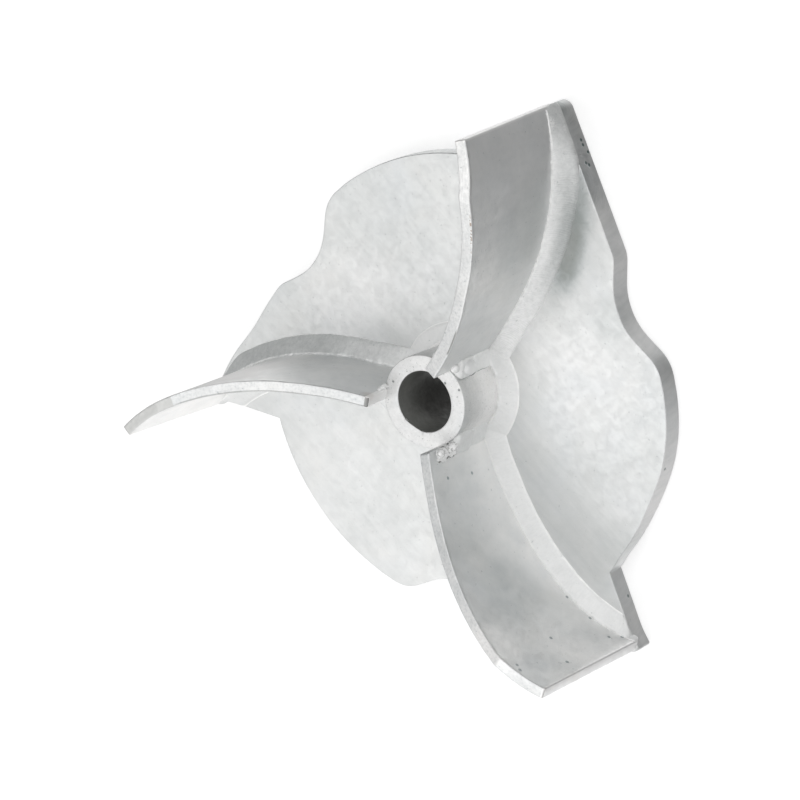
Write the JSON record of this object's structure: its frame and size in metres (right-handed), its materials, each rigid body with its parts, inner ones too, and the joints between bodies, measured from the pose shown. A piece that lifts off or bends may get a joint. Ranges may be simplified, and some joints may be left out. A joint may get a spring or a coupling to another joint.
{
  "type": "open slurry pump impeller, welded",
  "caption": "Welded open pump impeller: a lobed flat back plate, a bored tubular hub and tall backward-curved vanes joined by broad fillet welds, hot-dip galvanised.",
  "frame": {"origin": "on the shaft axis, in the plane of the back plate's rear face", "axes": "+Z along the shaft axis, from the back plate towards the vanes and the hub's front end; +X and +Y in the back plate's plane, with vane 1 leaving the hub towards +X and +Y"},
  "size_m": [0.4717, 0.4673, 0.161],
  "materials": {
    "plate": "satin, cloudy zinc skin",
    "hub": "satin zinc skin over a turned tube",
    "vane": "satin zinc skin, slightly darker",
    "weld": "satin zinc skin over rippled weld beads"
  },
  "bodies": {
    "root": {"back_plate": "plate", "hub": "hub", "hub_back_weld": "weld", "hub_foot_weld_1": "weld", "vane_1": "vane", "vane_1_outer_foot_weld": "weld", "vane_1_outer_hub_weld": "weld", "vane_1_inner_foot_weld": "weld", "vane_1_inner_hub_weld": "weld", "hub_foot_weld_2": "weld", "vane_2": "vane", "vane_2_outer_foot_weld": "weld", "vane_2_outer_hub_weld": "weld", "vane_2_inner_foot_weld": "weld", "vane_2_inner_hub_weld": "weld", "hub_foot_weld_3": "weld", "vane_3": "vane", "vane_3_outer_foot_weld": "weld", "vane_3_outer_hub_weld": "weld", "vane_3_inner_foot_weld": "weld", "vane_3_inner_hub_weld": "weld"}
  },
  "joints": []
}
